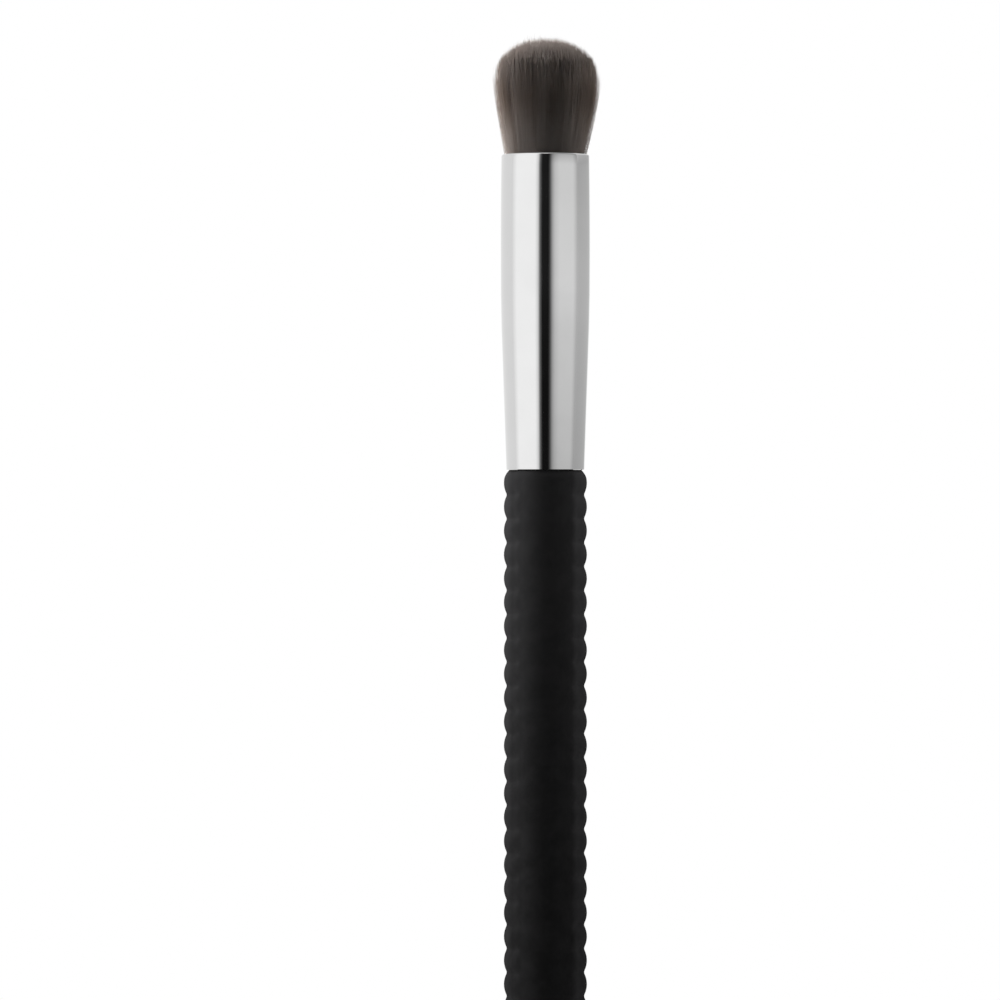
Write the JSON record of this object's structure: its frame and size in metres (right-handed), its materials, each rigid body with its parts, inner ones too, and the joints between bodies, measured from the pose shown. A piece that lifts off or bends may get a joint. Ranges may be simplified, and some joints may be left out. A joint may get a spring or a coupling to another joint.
{
  "type": "kabuki brush",
  "caption": "Long-handled makeup brush with a dense domed tuft, a bright tapered metal ferrule and a rubber grip with scalloped sides, for buffing powder or cream onto the face.",
  "frame": {"origin": "centre of the flat rear end of the grip sleeve", "axes": "+Z along the brush, from the rear end to the tuft; -Y is the smooth front of the grip; X runs from one scalloped side to the other"},
  "size_m": [0.0156, 0.0156, 0.1723],
  "materials": {
    "filament": "matte",
    "thread": "matte",
    "epoxy": "gloss",
    "bright_metal": "polished",
    "glue": "satin",
    "wood": "matte",
    "rubber": "matte"
  },
  "bodies": {
    "root": {"tuft_core": "filament", "tuft_middle": "filament", "tuft_outer": "filament", "binding_thread": "thread", "potting_plug": "epoxy", "ferrule": "bright_metal", "tenon_glue": "glue", "handle_core": "wood", "grip_sleeve": "rubber"}
  },
  "joints": []
}
